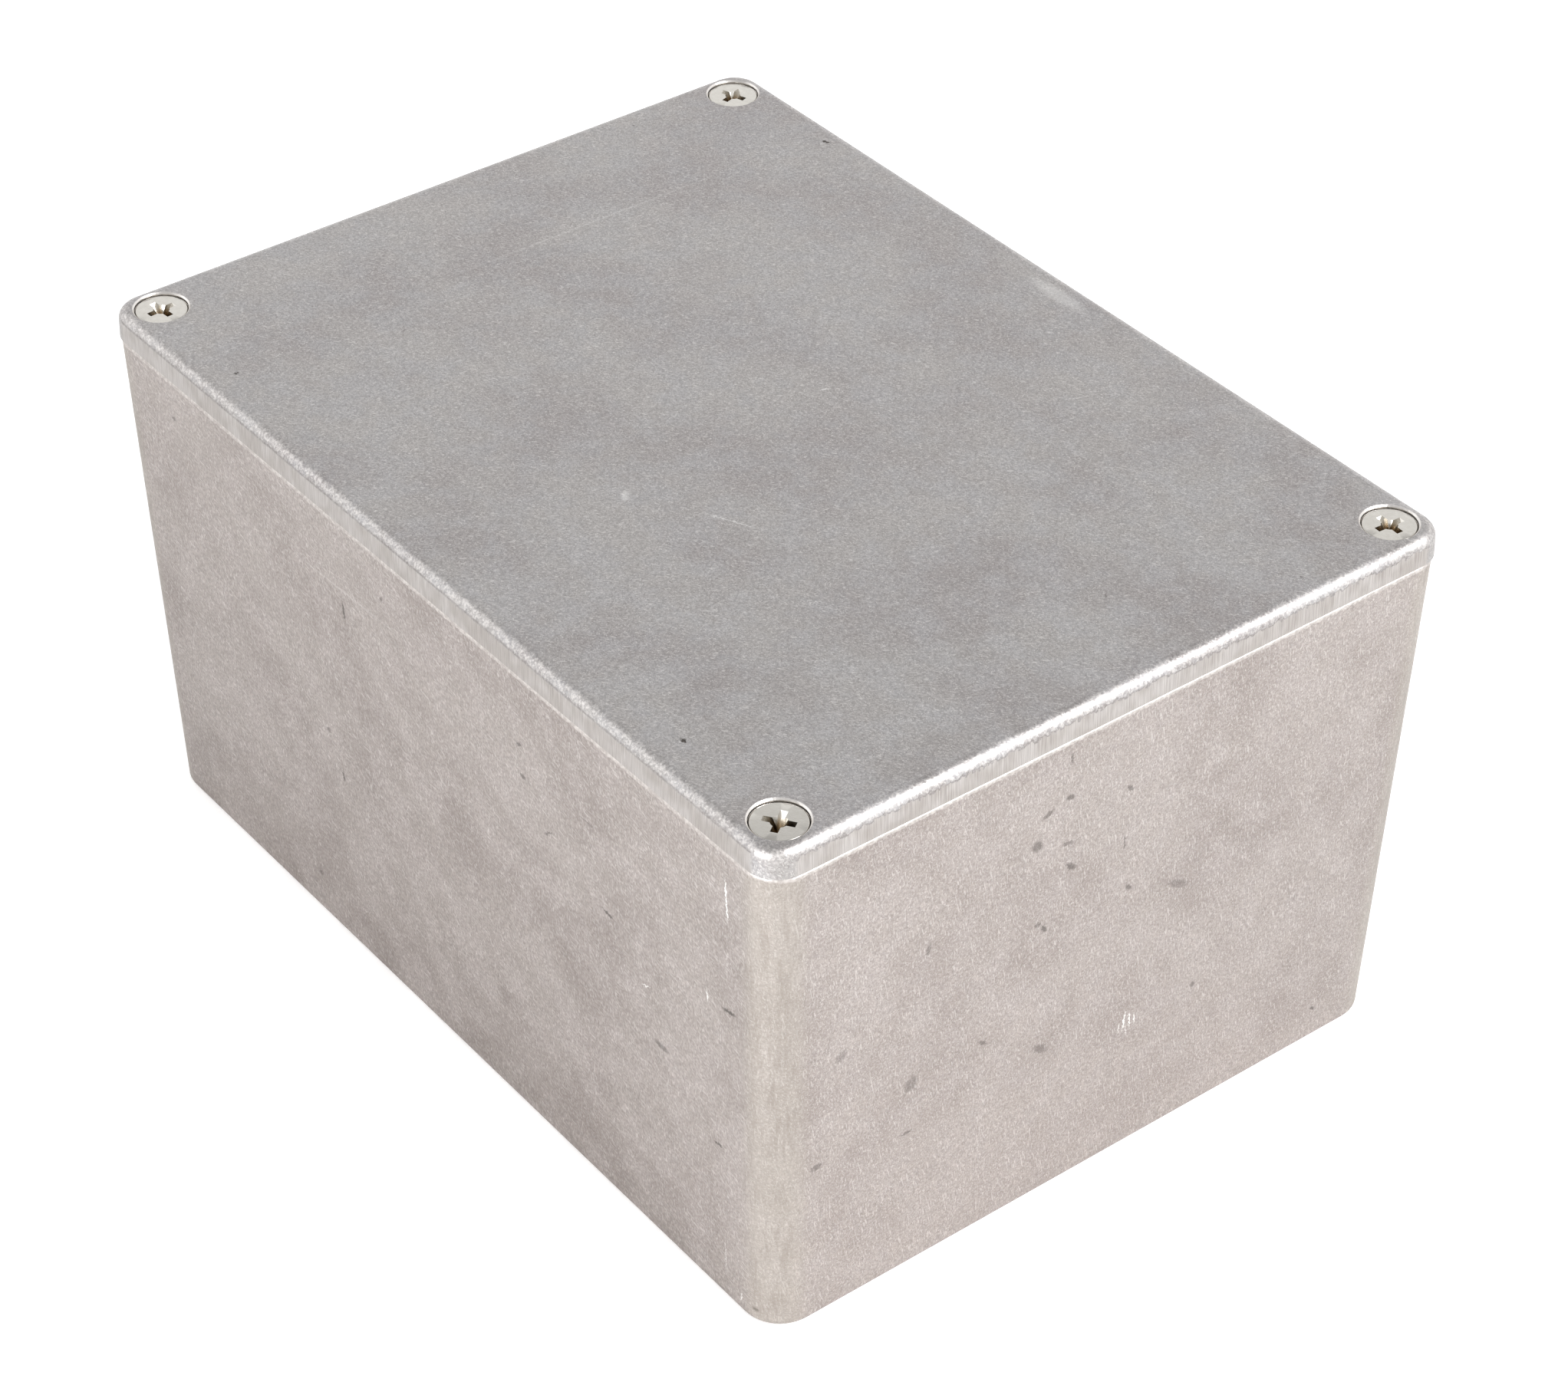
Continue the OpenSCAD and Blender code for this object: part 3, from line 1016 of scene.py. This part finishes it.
@dataclass(frozen=True)
class BaseCasting:
    """The base: drafted walls, filleted floor and four screw pillars, in one casting."""

    sizes: BoxSizes
    floor_t: float = 2.6
    wall_draft: float = 1.3
    core_draft: float = 1.5
    rim_corner_r: float = 4.4
    foot_corner_r: float = 5.4
    foot_edge_r: float = 1.0
    rim_edge_r: float = 0.45
    floor_fillet_r: float = 2.4
    pillar_draft: float = 0.6
    tapped_depth: float = 11.0
    tapped_r: float = 1.8

    def outside(self) -> bmesh.types.BMesh:
        """Outer form, from the rounded foot edge to the rim.

        Returns:
            The solid.
        """
        rim_z = self.sizes.rim_z
        step = self.sizes.rim_step
        foot_inset = step + rim_z * math.tan(math.radians(self.wall_draft))
        foot = [
            Section(
                self.foot_edge_r * (1 - math.cos(a)),
                foot_inset + self.foot_edge_r * (1 - math.sin(a)),
                self.foot_corner_r - self.foot_edge_r * (1 - math.sin(a)),
            )
            for a in quarter(6)
        ]
        rim = [
            Section(
                rim_z - self.rim_edge_r * (1 - math.sin(a)),
                step + self.rim_edge_r * (1 - math.cos(a)),
                self.rim_corner_r - self.rim_edge_r * (1 - math.cos(a)),
            )
            for a in quarter(4)
        ]
        return self.sizes.outline.loft(foot + rim)

    def cavity(self) -> bpy.types.Object:
        """The space that the core leaves, with the pillars and pin marks taken out of it.

        Returns:
            The solid of the space.
        """
        rim_z = self.sizes.rim_z
        depth = rim_z - self.floor_t
        rim_inset = self.sizes.wall_t + self.sizes.rim_step
        floor_inset = rim_inset + depth * math.tan(math.radians(self.core_draft))
        floor_corner_r = self.floor_fillet_r + 1
        mouth_corner_r = self.rim_corner_r - self.sizes.wall_t + 0.2
        sections = [
            Section(
                self.floor_t + self.floor_fillet_r * (1 - math.cos(a)),
                floor_inset + self.floor_fillet_r * (1 - math.sin(a)),
                floor_corner_r - self.floor_fillet_r * (1 - math.sin(a)),
            )
            for a in quarter(6)
        ]
        sections.append(Section(rim_z, rim_inset, mouth_corner_r))
        sections.append(Section(rim_z + OVER, rim_inset, mouth_corner_r))
        space = to_object(self.sizes.outline.loft(sections), "cavity")
        foot_r = self.sizes.pillar_r + rim_z * math.tan(math.radians(self.pillar_draft))
        pillar = turned([(0, 0), (foot_r, 0), (self.sizes.pillar_r, rim_z), (0, rim_z)], 64)
        self.sizes.carve_corners(space, pillar)
        return carve(space, self.sizes.ejector_marks(self.floor_t))

    def tapped_hole(self) -> bmesh.types.BMesh:
        """One blind hole, with its drill point and lead-in chamfer.

        Returns:
            Its solid, on the Z axis.
        """
        r = self.tapped_r
        end_z = self.sizes.rim_z - self.tapped_depth
        tip_z = end_z - r * math.tan(math.radians(31))
        lead = 0.3
        return turned(
            [(0, tip_z), (r, end_z), (r, self.sizes.rim_z - lead),
             (r + lead + OVER, self.sizes.rim_z + OVER), (0, self.sizes.rim_z + OVER)], 40,
        )

    def build(self, finishes: list[bpy.types.Material]) -> bpy.types.Object:
        """Makes the casting, dressed and on its body.

        Args:
            finishes: The materials of its long sides and of its ends.

        Returns:
            The piece.
        """
        piece = to_object(self.outside(), "base_casting")
        carve(piece, self.cavity())
        self.sizes.carve_corners(piece, self.tapped_hole())
        return dress(piece, finishes, "base", "box_base")


@dataclass(frozen=True)
class LidCasting:
    """The lid: rounded top edge, locating lip, pocketed underside and four countersinks."""

    sizes: BoxSizes
    corner_r: float = 4.1
    edge_r: float = 1.5
    draft: float = 2.0
    plate_t: float = 2.6
    lip_h: float = 2.0
    lip_t: float = 1.8
    lip_gap: float = 0.25
    pad_gap: float = 0.5
    hole_r: float = 2.0
    well_r: float = 3.5
    head_rim_h: float = 0.2
    mouth_chamfer: float = 0.22

    def outside(self) -> bmesh.types.BMesh:
        """Outer form, with its drafted sides and rounded top edge.

        Returns:
            The solid.
        """
        joint_z = self.sizes.joint_z
        side_h = self.sizes.height - joint_z - self.edge_r
        top_inset = side_h * math.tan(math.radians(self.draft))
        sections = [Section(joint_z, 0.0, self.corner_r)]
        for a in quarter(8):
            bite = top_inset + self.edge_r * (1 - math.cos(a))
            sections.append(
                Section(joint_z + side_h + self.edge_r * math.sin(a), bite, self.corner_r - bite)
            )
        return self.sizes.outline.loft(sections)

    @property
    def lip_inset(self) -> float:
        """How far the outside of the lip stands in from the lid's sides."""
        return self.sizes.wall_t + self.sizes.rim_step + self.lip_gap

    def spigot(self) -> bpy.types.Object:
        """The block under the plate, from which the locating lip is left standing.

        Returns:
            The solid.
        """
        low = self.sizes.joint_z - self.lip_h
        lead = 0.15
        block = [
            Section(low, self.lip_inset + lead, 2.0),
            Section(self.sizes.joint_z + OVER, self.lip_inset, 2.0),
        ]
        return to_object(self.sizes.outline.loft(block), "spigot")

    def pillar_room(self) -> bmesh.types.BMesh:
        """The space that the lip leaves round one pillar.

        Returns:
            Its solid, on the Z axis.
        """
        low = self.sizes.joint_z - self.lip_h - OVER
        r = self.sizes.pillar_r + self.pad_gap
        return turned([(0, low), (r, low), (r, self.sizes.joint_z), (0, self.sizes.joint_z)])

    def pocket(self) -> bpy.types.Object:
        """The pocket in the underside, less the pads round the screws and the pin marks.

        Returns:
            The solid of the pocket.
        """
        sizes = self.sizes
        inset = self.lip_inset + self.lip_t
        low = sizes.joint_z - self.lip_h - OVER
        roof_z = sizes.height - self.plate_t
        space = to_object(
            sizes.outline.loft([Section(low, inset, 2.0), Section(roof_z, inset, 2.0)]), "pocket"
        )
        r = sizes.pillar_r + self.pad_gap
        pad = turned([(0, sizes.joint_z), (r, sizes.joint_z), (r, sizes.height), (0, sizes.height)])
        sizes.carve_corners(space, pad)
        return carve(space, sizes.ejector_marks(roof_z - sizes.mark_h))

    def countersink(self) -> bmesh.types.BMesh:
        """One countersunk hole.

        Returns:
            Its solid, on the Z axis.
        """
        top = self.sizes.height
        seat_z = top - self.sizes.head_sink - self.head_rim_h
        flare = self.mouth_chamfer + OVER
        return turned(
            [(0, self.sizes.joint_z - OVER), (self.hole_r, self.sizes.joint_z - OVER),
             (self.hole_r, seat_z - (self.well_r - self.hole_r)), (self.well_r, seat_z),
             (self.well_r, top - self.mouth_chamfer), (self.well_r + flare, top + OVER),
             (0, top + OVER)], 64,
        )

    def build(self, finish: bpy.types.Material) -> bpy.types.Object:
        """Makes the casting, dressed and on its body.

        Args:
            finish: Its material.

        Returns:
            The piece.
        """
        piece = to_object(self.outside(), "lid_casting")
        self.sizes.carve_corners(piece, self.countersink())
        carve(piece, self.spigot(), "UNION")
        self.sizes.carve_corners(piece, self.pillar_room())
        carve(piece, self.pocket())
        return dress(piece, [finish], "lid", "lid")


@dataclass(frozen=True)
class Screw:
    """A countersunk machine screw with a cross recess and a rolled thread."""

    sizes: BoxSizes
    head_d: float = 6.66
    head_rim_h: float = 0.2
    edge_r: float = 0.12
    length: float = 12.0
    crest_r: float = 1.73
    root_r: float = 1.42
    pitch: float = 0.7
    recess_span: float = 3.9
    wing_t: float = 0.9
    recess_depth: float = 1.9
    steps: int = 48

    @property
    def shank_z(self) -> float:
        """Height at which the head meets the shank, from the top of the head."""
        return -self.head_rim_h - (self.head_d / 2 - self.crest_r)

    def blank(self) -> bmesh.types.BMesh:
        """The screw without its recess: head, thread and tip, with its top at z = 0.

        Returns:
            The solid.
        """
        low_z = -self.length + 0.45
        head_r = self.head_d / 2
        line = [(0, 0)]
        line += [
            (head_r - self.edge_r * (1 - math.sin(a)), -self.edge_r * (1 - math.cos(a)))
            for a in quarter(4)
        ]
        line += [(head_r, -self.head_rim_h), (self.crest_r, self.shank_z)]
        z = self.shank_z - 0.3
        while z - self.pitch > low_z:
            line += [
                (self.root_r, z), (self.crest_r, z - 0.38 * self.pitch),
                (self.crest_r, z - 0.52 * self.pitch), (self.root_r, z - 0.9 * self.pitch),
            ]
            z -= self.pitch
        line += [(self.root_r, z), (self.root_r, low_z), (self.root_r - 0.4, -self.length)]
        line += [(0, -self.length)]
        return turned(line, self.steps)

    def recess(self) -> bpy.types.Object:
        """The space of the cross recess: two tapering wings and a pointed middle.

        Returns:
            The solid of the space.
        """
        tall = self.recess_depth + OVER
        spread = tall / self.recess_depth
        middle = bmesh.new()
        bmesh.ops.create_cone(
            middle, cap_ends=True, segments=32, radius1=0.18 * MM,
            radius2=0.98 * spread * MM, depth=tall * MM,
        )
        bmesh.ops.translate(middle, vec=(0, 0, (OVER - self.recess_depth) / 2 * MM), verts=middle.verts)
        space = to_object(middle, "recess")
        for turn in (0, math.pi / 2):
            wing = bmesh.new()
            bmesh.ops.create_cube(wing, size=1.0)
            bmesh.ops.scale(
                wing, vec=(self.recess_span * MM, self.wing_t * MM, tall * MM), verts=wing.verts
            )
            bmesh.ops.translate(
                wing, vec=(0, 0, (OVER - self.recess_depth) / 2 * MM), verts=wing.verts
            )
            ends = [v for v in wing.verts if v.co.z < 0 and v.co.z < (OVER / 2) * MM]
            bmesh.ops.scale(wing, vec=(0.35, 0.66, 1.0), verts=ends)
            heads = [v for v in wing.verts if v not in ends]
            bmesh.ops.scale(wing, vec=(1.34, 1.18, 1.0), verts=heads)
            bmesh.ops.rotate(wing, cent=(0, 0, 0), matrix=Matrix.Rotation(turn, 3, "Z"), verts=wing.verts)
            carve(space, to_object(wing, "wing"), "UNION")
        return space

    def form(self) -> bpy.types.Mesh:
        """The whole screw, its top at z = 0.

        Returns:
            Its mesh.
        """
        solid = to_object(self.blank(), "screw form")
        carve(solid, self.recess())
        mesh = solid.data
        bpy.data.objects.remove(solid)
        return mesh

    def place(
        self, mesh: bpy.types.Mesh, side: Side, turn_deg: float, finish: bpy.types.Material
    ) -> bpy.types.Object:
        """Sets one screw in its corner, dressed and on its body.

        Args:
            mesh: The screw's form.
            side: Its corner.
            turn_deg: The turn of its recess, in degrees.
            finish: Its material.

        Returns:
            The piece.
        """
        name = side.name.lower()
        initials = "".join(word[0] for word in name.split("_"))
        copy = mesh.copy()
        seat = self.sizes.corner(side, self.sizes.height - self.sizes.head_sink) * MM
        turn = Matrix.Rotation(math.radians(turn_deg), 4, "Z")
        copy.transform(Matrix.Translation(seat) @ turn)
        piece = bpy.data.objects.new(f"screw_{name}_plated", copy)
        bpy.context.scene.collection.objects.link(piece)
        return dress(piece, [finish], f"screw_{initials}", f"screw_{name}")


def dress(
    piece: bpy.types.Object, finishes: list[bpy.types.Material], body: str, node: str
) -> bpy.types.Object:
    """Gives a piece its finish and sets it in the frame.

    Args:
        piece: The piece.
        finishes: Its material, or one for its long sides and one for its ends.
        body: The body that it rides on.
        node: The solid that it stands for.

    Returns:
        The piece.
    """
    piece.data.materials.clear()
    for finish in finishes:
        piece.data.materials.append(finish)
    last = len(finishes) - 1
    for face in piece.data.polygons:
        face.material_index = last if abs(face.normal.x) > abs(face.normal.y) else 0
    smooth_shaded(piece)
    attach(piece, body)
    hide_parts(node)
    bm = bmesh.new()
    bm.from_mesh(piece.data)
    loose = sum(1 for e in bm.edges if len(e.link_faces) != 2)
    bmesh.ops.triangulate(bm, faces=bm.faces)
    LOG.info(
        "%s: %d faces, %d open edges, %.1f mm3, on body %s", piece.name, len(bm.faces), loose,
        bm.calc_volume(signed=True) / MM ** 3, body,
    )
    bm.free()
    return piece


# --------------------------------------------------------------------------- the studio


@dataclass(frozen=True)
class Studio:
    """A pale floor, soft light and the camera.

    Args:
        azimuth_deg: The camera's bearing about the box.
        elevation_deg: Its height above the floor, as an angle.
        roll_deg: Its roll.
        distance: How far it stands from the point that it looks at.
        aim: That point.
        lens: Focal length on a 36 mm wide sensor.
    """

    azimuth_deg: float = 52.191
    elevation_deg: float = 37.719
    roll_deg: float = 0.299
    distance: float = 518.85
    aim: tuple[float, float, float] = (9.31, -2.17, 38.0)
    lens: float = 93.5

    def add_camera(self) -> None:
        """Adds the camera and makes it the scene's own."""
        az, el, roll = (
            math.radians(a) for a in (self.azimuth_deg, self.elevation_deg, self.roll_deg)
        )
        ahead = Vector(
            (-math.sin(az) * math.cos(el), math.cos(az) * math.cos(el), -math.sin(el))
        )
        level = Vector((math.cos(az), math.sin(az), 0))
        upright = level.cross(ahead)
        right = level * math.cos(roll) + upright * math.sin(roll)
        top = right.cross(ahead)
        place = Vector(self.aim) * MM - ahead * self.distance * MM
        data = bpy.data.cameras.new("camera")
        data.lens = self.lens
        data.sensor_width = 36.0
        data.clip_start = 0.01
        camera = bpy.data.objects.new("camera", data)
        axes = Matrix((right, top, -ahead)).transposed().to_4x4()
        camera.matrix_world = Matrix.Translation(place) @ axes
        bpy.context.scene.collection.objects.link(camera)
        bpy.context.scene.camera = camera

    def add_lamp(
        self, name: str, bearing_deg: float, rise_deg: float, far: float, size: float,
        power: float, colour: str = "#ffffff",
    ) -> None:
        """Adds one soft lamp that faces the box.

        Args:
            name: Its name.
            bearing_deg: Its bearing, counted from +X towards +Y, in degrees.
            rise_deg: Its height, as an angle in degrees.
            far: Its distance, in metres.
            size: Its side, in metres.
            power: Its power, in watts.
            colour: Its colour.
        """
        data = bpy.data.lights.new(name, "AREA")
        data.shape = "SQUARE"
        data.size = size
        data.energy = power
        data.color = linear(colour)[:3]
        lamp = bpy.data.objects.new(name, data)
        bearing, rise = math.radians(bearing_deg), math.radians(rise_deg)
        way = Vector(
            (math.cos(bearing) * math.cos(rise), math.sin(bearing) * math.cos(rise), math.sin(rise))
        )
        lamp.location = way * far + Vector((0, 0, 0.04))
        lamp.rotation_euler = way.to_track_quat("Z", "Y").to_euler()
        bpy.context.scene.collection.objects.link(lamp)

    def add_world(self) -> None:
        """Adds the even light of a white room, brighter low down than overhead."""
        world = bpy.data.worlds.new("room")
        bpy.context.scene.world = world
        world.use_nodes = True
        tree = world.node_tree
        tree.nodes.clear()
        output = tree.nodes.new("ShaderNodeOutputWorld")
        shade = tree.nodes.new("ShaderNodeBackground")
        seen = tree.nodes.new("ShaderNodeBackground")
        seen.inputs["Strength"].default_value = 1.0
        mix = tree.nodes.new("ShaderNodeMixShader")
        path = tree.nodes.new("ShaderNodeLightPath")
        way = tree.nodes.new("ShaderNodeTexCoord")
        split = tree.nodes.new("ShaderNodeSeparateXYZ")
        ramp = tree.nodes.new("ShaderNodeMapRange")
        ramp.interpolation_type = "SMOOTHSTEP"
        ramp.inputs[1].default_value = math.sin(math.radians(34))
        ramp.inputs[2].default_value = math.sin(math.radians(46))
        ramp.inputs[3].default_value = 1.5
        ramp.inputs[4].default_value = 0.72
        links = tree.links
        links.new(way.outputs["Generated"], split.inputs[0])
        links.new(split.outputs[2], ramp.inputs[0])
        links.new(ramp.outputs[0], shade.inputs["Strength"])
        links.new(path.outputs["Is Camera Ray"], mix.inputs[0])
        links.new(shade.outputs[0], mix.inputs[1])
        links.new(seen.outputs[0], mix.inputs[2])
        links.new(mix.outputs[0], output.inputs[0])

    def add_floor(self) -> None:
        """Adds the white floor, which lets the box's soft shadow show."""
        bm = bmesh.new()
        bmesh.ops.create_grid(bm, x_segments=1, y_segments=1, size=6.0)
        floor = to_object(bm, "floor")
        material = bpy.data.materials.new("white matt paper")
        material.use_nodes = True
        tree = material.node_tree
        tree.nodes.clear()
        output = tree.nodes.new("ShaderNodeOutputMaterial")
        paper = tree.nodes.new("ShaderNodeBsdfDiffuse")
        paper.inputs["Color"].default_value = linear("#f4f4f4")
        glow = tree.nodes.new("ShaderNodeEmission")
        total = tree.nodes.new("ShaderNodeAddShader")
        path = tree.nodes.new("ShaderNodeLightPath")
        lift = tree.nodes.new("ShaderNodeMath")
        lift.operation = "MULTIPLY"
        lift.inputs[1].default_value = 0.3
        links = tree.links
        links.new(path.outputs["Is Camera Ray"], lift.inputs[0])
        links.new(lift.outputs[0], glow.inputs["Strength"])
        links.new(paper.outputs[0], total.inputs[0])
        links.new(glow.outputs[0], total.inputs[1])
        links.new(total.outputs[0], output.inputs[0])
        floor.data.materials.append(material)

    def build(self) -> None:
        """Sets up the whole studio."""
        self.add_camera()
        self.add_world()
        self.add_lamp("key lamp", 20, 38, 1.1, 0.7, 10.5)
        self.add_lamp("near lamp", -72, 7, 0.46, 0.3, 1.2)
        self.add_lamp("fill lamp", 225, 32, 1.3, 0.9, 1.2)
        self.add_floor()
        bpy.context.scene.view_settings.view_transform = "Standard"
        LOG.info("studio ready")


# --------------------------------------------------------------------------- marks of use


def wall_mark(
    x: float, z: float, long: float, wide: float, lean: float, depth: float = 1.0
) -> Mark:
    """A mark on the front wall, whose long axis leans from level by lean degrees."""
    y = -50.9 + (72.0 - z) * math.tan(math.radians(1.3))
    return Mark(x, y, z, (long / 2, 1.2, wide / 2), (0, -lean, 0), depth)


def end_mark(
    y: float, z: float, long: float, wide: float, lean: float, depth: float = 1.0
) -> Mark:
    """A mark on the right end wall, whose long axis leans from level by lean degrees."""
    x = 69.9 - (72.0 - z) * math.tan(math.radians(1.3))
    return Mark(x, y, z, (1.2, long / 2, wide / 2), (lean, 0, 0), depth)


def lid_mark(
    x: float, y: float, long: float, wide: float, lean: float, depth: float = 1.0
) -> Mark:
    """A mark on top of the lid, turned from +X by lean degrees."""
    return Mark(x, y, 76.0, (long / 2, wide / 2, 1.2), (0, 0, lean), depth)


LID_PITS = (
    lid_mark(-46.4, 47.8, 1.3, 0.5, 30), lid_mark(-45.8, -46.3, 0.5, 0.7, 0),
    lid_mark(47.6, -45.9, 1.0, 0.6, 10), lid_mark(-41.4, -24.2, 0.3, 1.3, 10, 0.3),
    lid_mark(55.5, 9.2, 1.6, 0.25, -45, 0.45), lid_mark(-65.9, 29.5, 0.9, 0.4, 0, 0.5),
    lid_mark(66.5, 29.8, 0.4, 0.4, 0, 0.5),
)
LID_SCORES = (
    lid_mark(17.0, -16.4, 8.4, 0.3, 26, 0.35), lid_mark(-48.5, 10.0, 0.35, 42.0, 0, 0.14),
    lid_mark(5.3, -23.3, 2.4, 1.0, -40, 0.3), lid_mark(2.5, 47.4, 11.0, 2.6, 0, 0.24),
    lid_mark(1.5, 10.0, 0.3, 1.1, 0, 0.5),
)
WALL_DENTS = (
    wall_mark(-16.4, 58.2, 3.4, 0.5, 95, 0.7), wall_mark(-20.7, 29.3, 1.8, 0.5, 95, 0.65),
    wall_mark(38.3, 46.7, 2.4, 0.5, -8, 0.75), wall_mark(61.7, 48.2, 2.8, 0.6, 12, 0.8),
    wall_mark(48.0, 32.8, 3.2, 1.0, 0, 0.5), wall_mark(58.7, 25.2, 1.8, 0.5, 12, 0.75),
    wall_mark(21.9, 56.8, 1.3, 0.8, 0, 0.6), wall_mark(21.5, 61.4, 1.4, 0.7, 20, 0.6),
    wall_mark(-7.0, 65.6, 1.2, 0.6, 60, 0.55),
    wall_mark(26.7, 51.2, 2.4, 0.35, 35, 0.55), wall_mark(-23.3, 35.2, 0.9, 0.9, 0, 0.5),
    wall_mark(-55.0, 66.1, 1.1, 0.7, 0, 0.5), wall_mark(35.0, 58.4, 2.6, 0.35, 0, 0.4),
    wall_mark(-29.4, 7.0, 1.0, 0.8, 0, 0.5), 
    wall_mark(64.8, 2.2, 1.1, 0.8, 0, 0.9), 
    
)
WALL_SCORES = (
    wall_mark(61.8, 65.0, 6.6, 0.32, 93, 0.95), wall_mark(57.6, 47.6, 2.2, 0.3, 95, 0.8),
    wall_mark(45.4, 40.5, 2.0, 0.25, 25, 0.7), wall_mark(-14.0, 61.6, 26.0, 0.4, 3, 0.14),
    wall_mark(59.5, 7.0, 6.0, 0.2, 90, 0.4), wall_mark(62.4, 2.6, 2.0, 0.3, 80, 0.7),
)
END_DENTS = (
    end_mark(-7.9, 69.3, 1.8, 0.5, 95, 0.55), end_mark(-11.0, 62.4, 2.2, 0.8, 25, 0.5),
    end_mark(-7.7, 63.4, 1.6, 0.9, -20, 0.55), 
    end_mark(-12.3, 58.3, 1.9, 1.7, -50, 0.55), end_mark(-7.5, 56.4, 2.2, 0.6, -12, 0.5),
    end_mark(1.7, 60.1, 1.6, 0.6, -45, 0.55),
    end_mark(-6.8, 52.5, 2.2, 0.9, -38, 0.6), end_mark(1.5, 51.8, 2.6, 0.25, 95, 0.5),
    end_mark(-27.9, 50.9, 2.0, 0.7, 80, 0.45), 
    end_mark(-11.3, 45.8, 1.0, 0.9, 0, 0.5),
    end_mark(-10.3, 44.7, 1.6, 0.6, -55, 0.6), end_mark(2.8, 44.3, 1.3, 0.8, -50, 0.6),
    end_mark(11.0, 40.6, 4.2, 1.3, -32, 0.35), end_mark(-40.2, 41.2, 2.0, 1.5, 35, 0.3),
    end_mark(-29.5, 30.7, 2.4, 2.2, 60, 0.4), end_mark(-18.7, 31.2, 1.8, 0.7, -40, 0.45),
    end_mark(-43.3, 25.4, 1.8, 1.0, -5, 0.5),
    end_mark(-29.8, 23.0, 2.0, 0.6, 5, 0.5), end_mark(-9.4, 25.0, 2.8, 1.4, -35, 0.45),
    end_mark(15.4, 21.8, 0.9, 0.8, 0, 0.5),
    end_mark(37.8, 5.3, 1.5, 0.5, -40, 0.6), 
)
END_SCORES = (
    end_mark(4.2, 21.9, 3.4, 0.3, 85, 0.85), end_mark(5.1, 21.6, 3.0, 0.25, 95, 0.8),
    end_mark(5.9, 21.4, 2.0, 0.3, 95, 0.75), end_mark(3.4, 21.2, 1.6, 0.25, 90, 0.7),
    end_mark(4.6, 20.2, 2.2, 0.2, 100, 0.6),
)
RECESS_TURNS = {
    Side.FRONT_LEFT: 5.0, Side.FRONT_RIGHT: 35.0, Side.BACK_LEFT: 18.0, Side.BACK_RIGHT: -4.0,
}


def main() -> None:
    """Builds the studio and the box, and reports each piece."""
    logging.basicConfig(level=logging.INFO, format="%(name)s: %(message)s")
    sizes = BoxSizes.from_frame()
    Studio().build()
    base_finishes = [
        BaseFinish(
            f"tumbled cast aluminium, base {part}", "#b9b1ad", "#aaa19d", "#c4bdbb",
            shaded_dents, scores, 2.0,
        ).build()
        for part, shaded_dents, scores in (
            ("sides", WALL_DENTS, WALL_SCORES), ("ends", END_DENTS, END_SCORES),
        )
    ]
    lid_finish = LidFinish(
        "tumbled cast aluminium, lid", "#b9b6b5", "#aba6a6", "#c0c0c3",
        LID_PITS, LID_SCORES, 11.0,
    )
    BaseCasting(sizes).build(base_finishes)
    LidCasting(sizes).build(lid_finish.build())
    screw = Screw(sizes)
    axis = sizes.corner(Side.BACK_RIGHT)
    nickel = NickelFinish(
        "bright nickel plate", sizes.height - sizes.head_sink, screw.recess_depth,
        screw.recess_span / 2, axis.x, axis.y,
    ).build()
    form = screw.form()
    for side in Side:
        screw.place(form, side, RECESS_TURNS[side], nickel)


if __name__ == "__main__":
    main()
